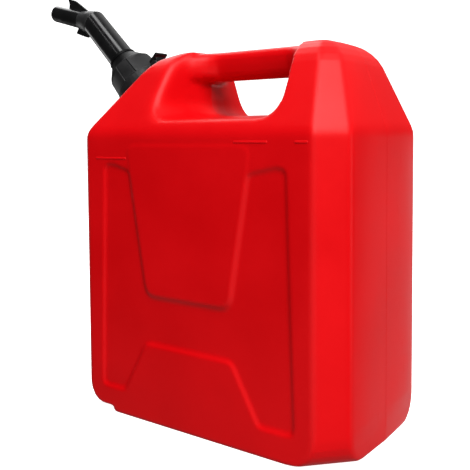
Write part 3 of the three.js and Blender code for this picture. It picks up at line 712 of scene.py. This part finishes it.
# screw collar: pairs of a wide and a narrow grip, and a plain cone above them
collar = {
    "pairs": 4,
    "wide": 60.0,  # degrees, the narrow grip has the rest of the pair
    "turn": -52.5,  # where the first wide grip starts
    "flatness": 0.5,  # of the grips, from round to flat
    "groove": 0.9,
    "grooveHalf": 1.8,  # degrees
    "grooveSteps": 4,
    "gripStep": 4.0,  # degrees
    "gripRows": 6,
    "roundRows": 4,
    "cone": 14.0,
    "coneRows": 8,
    "rim": 1.2,
    "lip": 0.8,
    "shoulder": 24.8,
    "skirt": 26.5,
    "mouth": 14.6,
    "hole": 13.4,
    "bore": 21.6,
    "slack": 0.4,
}


def gripMarks():  # (degrees, share of the groove, share by which a flat sinks) round the collar
    half, fine = collar["grooveHalf"], collar["grooveSteps"]
    pair = 360 / collar["pairs"]
    marks = []
    for i in range(collar["pairs"]):
        start = collar["turn"] + i * pair
        for low, high in ((start, start + collar["wide"]), (start + collar["wide"], start + pair)):
            span = high - low
            for k in range(-fine, fine + 1):
                marks.append((low + half * k / fine, 0.5 + 0.5 * math.cos(math.pi * k / fine), 0))
            steps = round(span / collar["gripStep"])
            for k in range(1, steps):
                off = (k / steps - 0.5) * (span - 2 * half)
                flat = math.cos(math.radians(span / 2 - half)) / math.cos(math.radians(off))
                marks.append((low + span / 2 + off, 0, (1 - flat) * collar["flatness"]))
    return marks


def collarRows():  # (radius, height, share of the grips' relief) round the section
    foot = footAlongNeck("screw_collar")
    coneFoot = collarTop - collar["cone"]
    skirt, shoulder, mouth, lip, rim = (collar[k] for k in ("skirt", "shoulder", "mouth", "lip", "rim"))
    rows = [(collar["bore"], foot, 0), (skirt - lip, foot, 0.6)]
    for out, rise in quarterTurn(collar["roundRows"]):
        rows.append((skirt - lip + lip * out, foot + lip * rise, 1))
    for t in evenShares(collar["gripRows"]):
        rows.append((skirt + (shoulder - skirt) * t, foot + lip + (coneFoot - rim - foot - lip) * t, 1))
    for t, (rise, inset) in zip(evenShares(collar["roundRows"]), quarterTurn(collar["roundRows"])):
        rows.append((shoulder - rim * inset, coneFoot - rim * (1 - rise), 1 - t))
    for t in evenShares(collar["coneRows"]):
        rows.append((shoulder - rim + (mouth - shoulder + rim) * t, coneFoot + collar["cone"] * t, 0))
    rows.append((collar["hole"], collarTop, 0))
    rows.append((collar["hole"], flareTop + collar["slack"], 0))
    rows.append((collar["bore"], tubeFoot + spout["rim"] + collar["slack"], 0))
    return rows


def screwCollar():
    marks = gripMarks()
    rings = []
    for radius, h, weight in collarRows():
        ring = []
        for degrees, dip, sink in marks:
            r = radius - weight * (collar["groove"] * dip + radius * sink)
            turn = math.radians(degrees)
            ring.append(Vector((r * math.cos(turn), r * math.sin(turn), h)))
        rings.append(ring)
    return skinRings(rings, wrap=True)


ring = addPiece("grip_collar", meshFrom("grip_collar", screwCollar()), neckSpace, sharp=35)
settle(ring, "collar", blackGrip, "black_plastic", "screw_collar")
# the cone above the grips takes the darker copy: painted shade
ring.data.materials.append(blackPaintedShade)
for face in ring.data.polygons:
    face.material_index = int((toNeck @ face.center).z > collarTop - collar["cone"])
print("collar: grips and cone")

# floor, light and camera
studio = {
    "floor": {"flat": 2.2, "bend": 0.8, "wall": 1.6, "steps": 64, "white": (0.9, 0.9, 0.9), "glow": 1.0},
    "sky": {"low": 0.06, "high": 0.80, "behind": (-0.1, 0.5), "above": (0.15, 0.7)},
    "aim": (0, 0, 0.2),
    "lights": {
        "key": {"at": (1.13, -0.86, 1.59), "across": (1, 1, 0), "size": (1.7, 1.7), "watts": 94},
        "bounce": {"at": (0, 0, -0.6), "across": (1, 0, 0), "size": (3.0, 3.0), "watts": 9},
        "apron": {"at": (0.40, -0.85, -0.12), "across": (1, 0.3, 0), "size": (1.2, 0.5), "watts": 2.2},
        "edge": {"at": (1.34, 0.41, 0.05), "across": (0, 1, 0), "size": (0.25, 1.0), "watts": 2.8},
        "rear": {"at": (0.30, 1.45, -0.2), "across": (1, 0, 0), "size": (0.4, 1.0), "watts": 2.6},
        "top": {"at": (-0.07, -0.46, 1.70), "across": (0.6, 0.54, 0.6), "size": (0.40, 0.70), "watts": 5},
        "strip": {"at": (-0.46, -1.02, 1.33), "across": (0.6, 0.54, 0.6), "size": (0.04, 0.90), "watts": 0.6},
        "fill": {"at": (-1.26, 0.82, 1.52), "across": (1, 1, 0), "size": (1.2, 1.2), "watts": 12},
        "side": {"at": (-1.70, 0.15, 0.15), "across": (0, 1, 0), "size": (0.6, 0.6), "watts": 1.5},
    },
}


def paleFloor():  # a round sheet that curves up into a backdrop
    floor = studio["floor"]
    rings = [ringAt(floor["flat"] * t, 0, floor["steps"]) for t in evenShares(4)]
    for out, rise in quarterTurn(8):
        rings.append(ringAt(floor["flat"] + floor["bend"] * out, floor["bend"] * rise, floor["steps"]))
    rings.append(ringAt(floor["flat"] + floor["bend"], floor["wall"], floor["steps"]))
    bm = skinRings(rings)
    bm.faces.ensure_lookup_table()
    bmesh.ops.delete(bm, geom=[bm.faces[-1]], context="FACES_ONLY")
    bmesh.ops.reverse_faces(bm, faces=bm.faces[:])
    sheet = addPiece("floor", meshFrom("floor", bm))
    f = Finish(bpy.data.materials.new("pale_floor"))
    f.set(Base_Color=(*floor["white"], 1), Roughness=0.9)
    f.set(Emission_Color=(1, 1, 1, 1), Emission_Strength=floor["glow"])
    sheet.data.materials.append(f.owner)
    sheet.visible_glossy = False
    sheet.visible_diffuse = False
    sheet.visible_shadow = False


def areaLight(name, at, across, size, watts):  # aimed at the can, with one side along a given direction
    lamp = bpy.data.lights.new(name, "AREA")
    lamp.shape = "RECTANGLE"
    lamp.size, lamp.size_y = size
    lamp.energy = watts
    light = bpy.data.objects.new(name, lamp)
    back = (Vector(at) - Vector(studio["aim"])).normalized()
    side = (Vector(across) - back * back.dot(Vector(across))).normalized()
    turn = Matrix((side, back.cross(side), back)).transposed().to_4x4()
    light.matrix_world = Matrix.Translation(at) @ turn
    light.visible_camera = False
    bpy.context.scene.collection.objects.link(light)


def softSky():  # lighter above and behind the can
    sky = studio["sky"]
    world = bpy.data.worlds.new("studio")
    bpy.context.scene.world = world
    f = Finish(world, "Background")
    where = {0: f.node("ShaderNodeTexCoord")}
    behind = f.band(f.node("ShaderNodeSeparateXYZ", {}, where, out="Y"), *sky["behind"])
    above = f.band(f.node("ShaderNodeSeparateXYZ", {}, where, out="Z"), *sky["above"])
    low, high = ((sky[k],) * 3 for k in ("low", "high"))
    f.set(Color=f.shade(behind * above, low, high), Strength=1)


photoView = {
    "at": (0.3736, -0.5205, 0.2533),
    "azimuth": 34.914,
    "pitch": 3.062,
    "roll": -0.329,
    "focal": 690.9,  # pixels in a frame 470 wide
    "centre": (253.26, 173.47),
    "frame": 470.0,
}


def photoCamera():
    turn, dip, roll = (math.radians(photoView[k]) for k in ("azimuth", "pitch", "roll"))
    right = Vector((math.cos(turn), math.sin(turn), 0))
    ahead = Vector((-math.sin(turn) * math.cos(dip), math.cos(turn) * math.cos(dip), -math.sin(dip)))
    up = right.cross(ahead)
    rolledRight = right * math.cos(roll) + up * math.sin(roll)
    rolledUp = up * math.cos(roll) - right * math.sin(roll)
    lens = bpy.data.cameras.new("photo_camera")
    lens.sensor_width = 36
    lens.lens = lens.sensor_width * photoView["focal"] / photoView["frame"]
    lens.shift_x = 0.5 - photoView["centre"][0] / photoView["frame"]
    lens.shift_y = photoView["centre"][1] / photoView["frame"] - 0.5
    camera = bpy.data.objects.new("photo_camera", lens)
    aim = Matrix((rolledRight, rolledUp, -ahead)).transposed().to_4x4()
    camera.matrix_world = Matrix.Translation(photoView["at"]) @ aim
    bpy.context.scene.collection.objects.link(camera)
    bpy.context.scene.camera = camera


paleFloor()
for name, light in studio["lights"].items():
    areaLight(name + "_light", **light)
softSky()
photoCamera()
bpy.context.scene.view_settings.view_transform = "Standard"
print("studio: floor, lights and camera")
